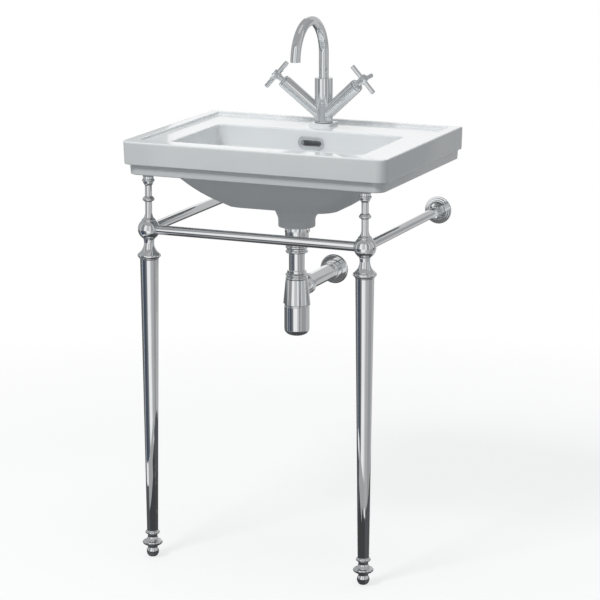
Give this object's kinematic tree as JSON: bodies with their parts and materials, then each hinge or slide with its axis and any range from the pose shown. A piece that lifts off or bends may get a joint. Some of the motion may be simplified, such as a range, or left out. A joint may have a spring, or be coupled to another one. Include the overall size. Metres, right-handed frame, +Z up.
{
  "type": "console sink with legs",
  "caption": "Ceramic console wash basin on turned metal legs with tie rails, a swan-neck mixer tap with cross handles, and a bottle trap to the wall.",
  "frame": {"origin": "on the floor, midway between the two legs in X and midway between the basin's front face and the wall in Y", "axes": "+Z up, +Y towards the wall, +X to the right of a person who faces the basin"},
  "size_m": [0.5598, 0.4319, 1.0802],
  "materials": {
    "ceramic": "white glaze",
    "chrome": "polished",
    "steel": "plain zinc-coated",
    "brass": "machined",
    "rubber": "matt",
    "plastic": "moulded"
  },
  "bodies": {
    "sink": {"basin": "ceramic", "overflow_trim": "chrome", "waste_body": "chrome", "plug_clicker": "brass", "waste_backnut": "chrome", "drain_seals": "rubber", "slip_nuts": "chrome", "dip_tube": "chrome", "trap_body": "chrome", "trap_cup": "chrome", "outlet_pipe": "chrome", "wall_escutcheon": "chrome", "leg_left": "chrome", "leg_right": "chrome", "posts": "chrome", "post_pads": "rubber", "pinch_screws": "steel", "rail_front": "chrome", "rail_left": "chrome", "rail_right": "chrome", "wall_flanges": "chrome", "wall_plates": "steel", "tap_body": "chrome", "tap_base_ring": "chrome", "tap_base_seal": "rubber", "tap_stud": "steel", "clamp_rubber": "rubber", "clamp_plate": "steel", "clamp_nut": "brass", "spout_collar": "chrome", "valves": "brass"},
    "left_foot": {"foot_left": "chrome"},
    "right_foot": {"foot_right": "chrome"},
    "plug": {"waste_plug": "chrome", "plug_seal": "rubber"},
    "swivel_spout": {"spout": "chrome", "aerator": "plastic"},
    "left_handle": {"handle_left": "chrome", "spindle_left": "brass"},
    "right_handle": {"handle_right": "chrome", "spindle_right": "brass"}
  },
  "joints": [
    {"name": "foot_left_level", "type": "slide", "parent": "sink", "child": "left_foot", "axis": [0, 0, 1], "range_m": [-0.012, 0]},
    {"name": "foot_right_level", "type": "slide", "parent": "sink", "child": "right_foot", "axis": [0, 0, 1], "range_m": [-0.012, 0]},
    {"name": "plug_press", "type": "slide", "parent": "sink", "child": "plug", "axis": [0, 0, 1], "range_m": [-0.0062, 0], "stiffness_N_per_m": 300, "springref_m": 0.01},
    {"name": "spout_swivel", "type": "hinge", "parent": "sink", "child": "swivel_spout", "pos_m": [0, 0.156, 0.93], "axis": [0, 0, 1], "range_deg": [-60, 60]},
    {"name": "handle_left_turn", "type": "hinge", "parent": "sink", "child": "left_handle", "pos_m": [0, 0.156, 0.866], "axis": [-0.7352, -0.1779, 0.6541], "range_deg": [0, 90]},
    {"name": "handle_right_turn", "type": "hinge", "parent": "sink", "child": "right_handle", "pos_m": [0, 0.156, 0.866], "axis": [0.7352, -0.1779, 0.6541], "range_deg": [-90, 0]}
  ]
}
